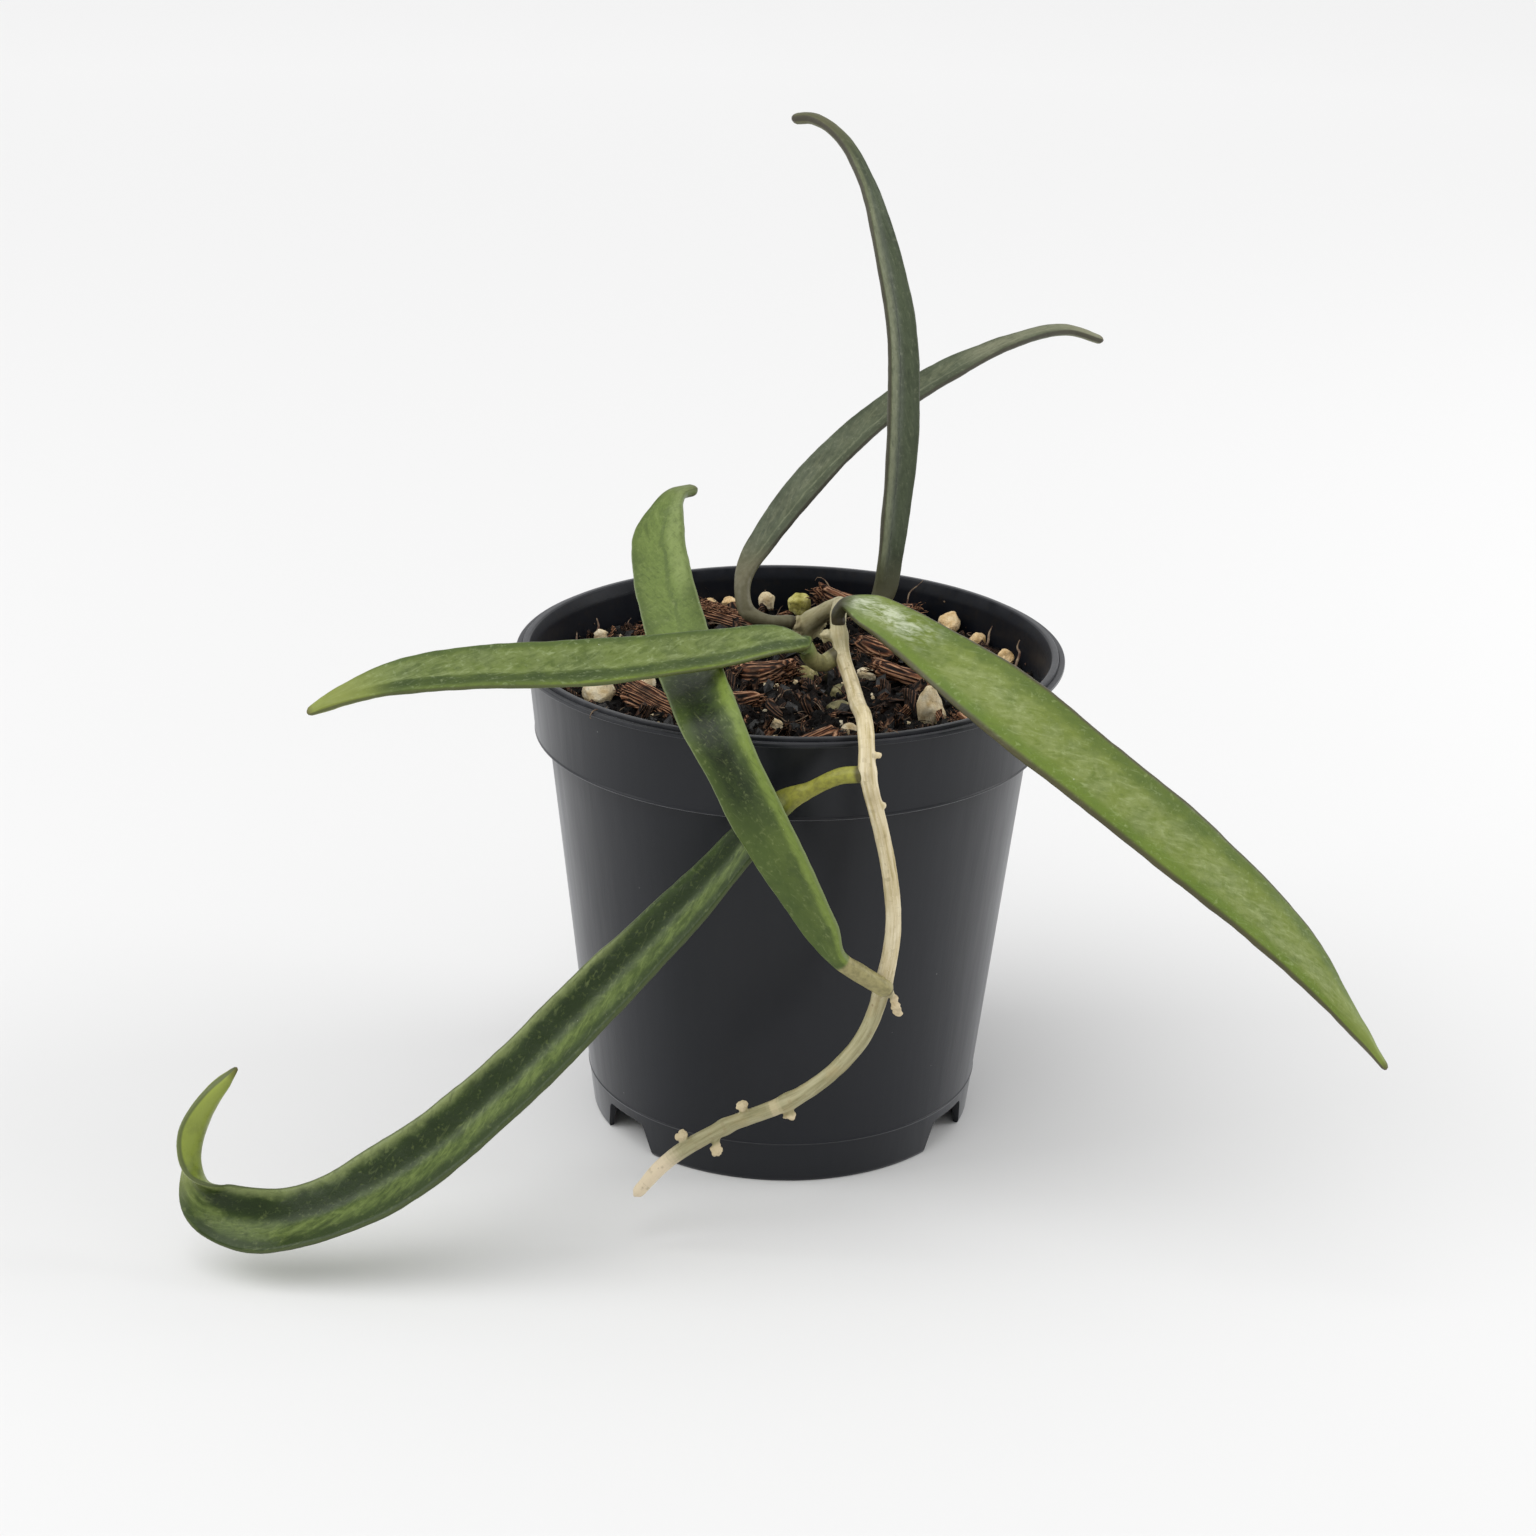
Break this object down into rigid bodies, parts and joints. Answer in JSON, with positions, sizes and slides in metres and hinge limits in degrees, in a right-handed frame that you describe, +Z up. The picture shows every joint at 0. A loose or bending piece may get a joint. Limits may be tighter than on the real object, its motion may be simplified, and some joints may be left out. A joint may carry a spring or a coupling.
{
  "type": "potted string bean hoya",
  "caption": "Trailing hoya vine with long channelled bean-like leaves, rooted in bark and pumice in a round plastic nursery pot with a stepped rim and a notched foot.",
  "frame": {"origin": "centre of the pot's foot, on the pot's axis, at the surface it stands on", "axes": "+Z up along the pot's axis, front of the plant, where the vine hangs over the rim, towards -Y, +X to the right of the picture"},
  "size_m": [0.2084, 0.1604, 0.1809],
  "materials": {
    "pot_plastic": "satin",
    "potting_mix": "matte",
    "bark": "matte",
    "pumice": "matte",
    "gravel": "matte",
    "vine_stem": "satin",
    "fresh_leaf": "satin",
    "old_leaf": "satin"
  },
  "bodies": {
    "root": {"pot": "pot_plastic", "soil": "potting_mix", "vine": "vine_stem", "leaf_right": "fresh_leaf", "leaf_left": "fresh_leaf", "leaf_crossing": "fresh_leaf", "leaf_low": "fresh_leaf", "leaf_upright": "old_leaf", "leaf_arching": "old_leaf", "pumice_01": "pumice", "pumice_02": "pumice", "pumice_03": "pumice", "pumice_04": "pumice", "pumice_05": "pumice", "pumice_06": "pumice", "pumice_07": "pumice", "pumice_08": "pumice", "pumice_09": "pumice", "pumice_10": "pumice", "pumice_11": "pumice", "pumice_12": "pumice", "pumice_13": "pumice", "pumice_14": "pumice", "pumice_15": "pumice", "pumice_16": "pumice", "gravel_01": "gravel", "gravel_02": "gravel", "gravel_03": "gravel", "bark_01": "bark", "bark_02": "bark", "bark_03": "bark", "bark_04": "bark", "bark_05": "bark", "bark_06": "bark", "bark_07": "bark", "bark_08": "bark", "bark_09": "bark", "bark_10": "bark", "bark_11": "bark", "bark_12": "bark"}
  },
  "joints": []
}
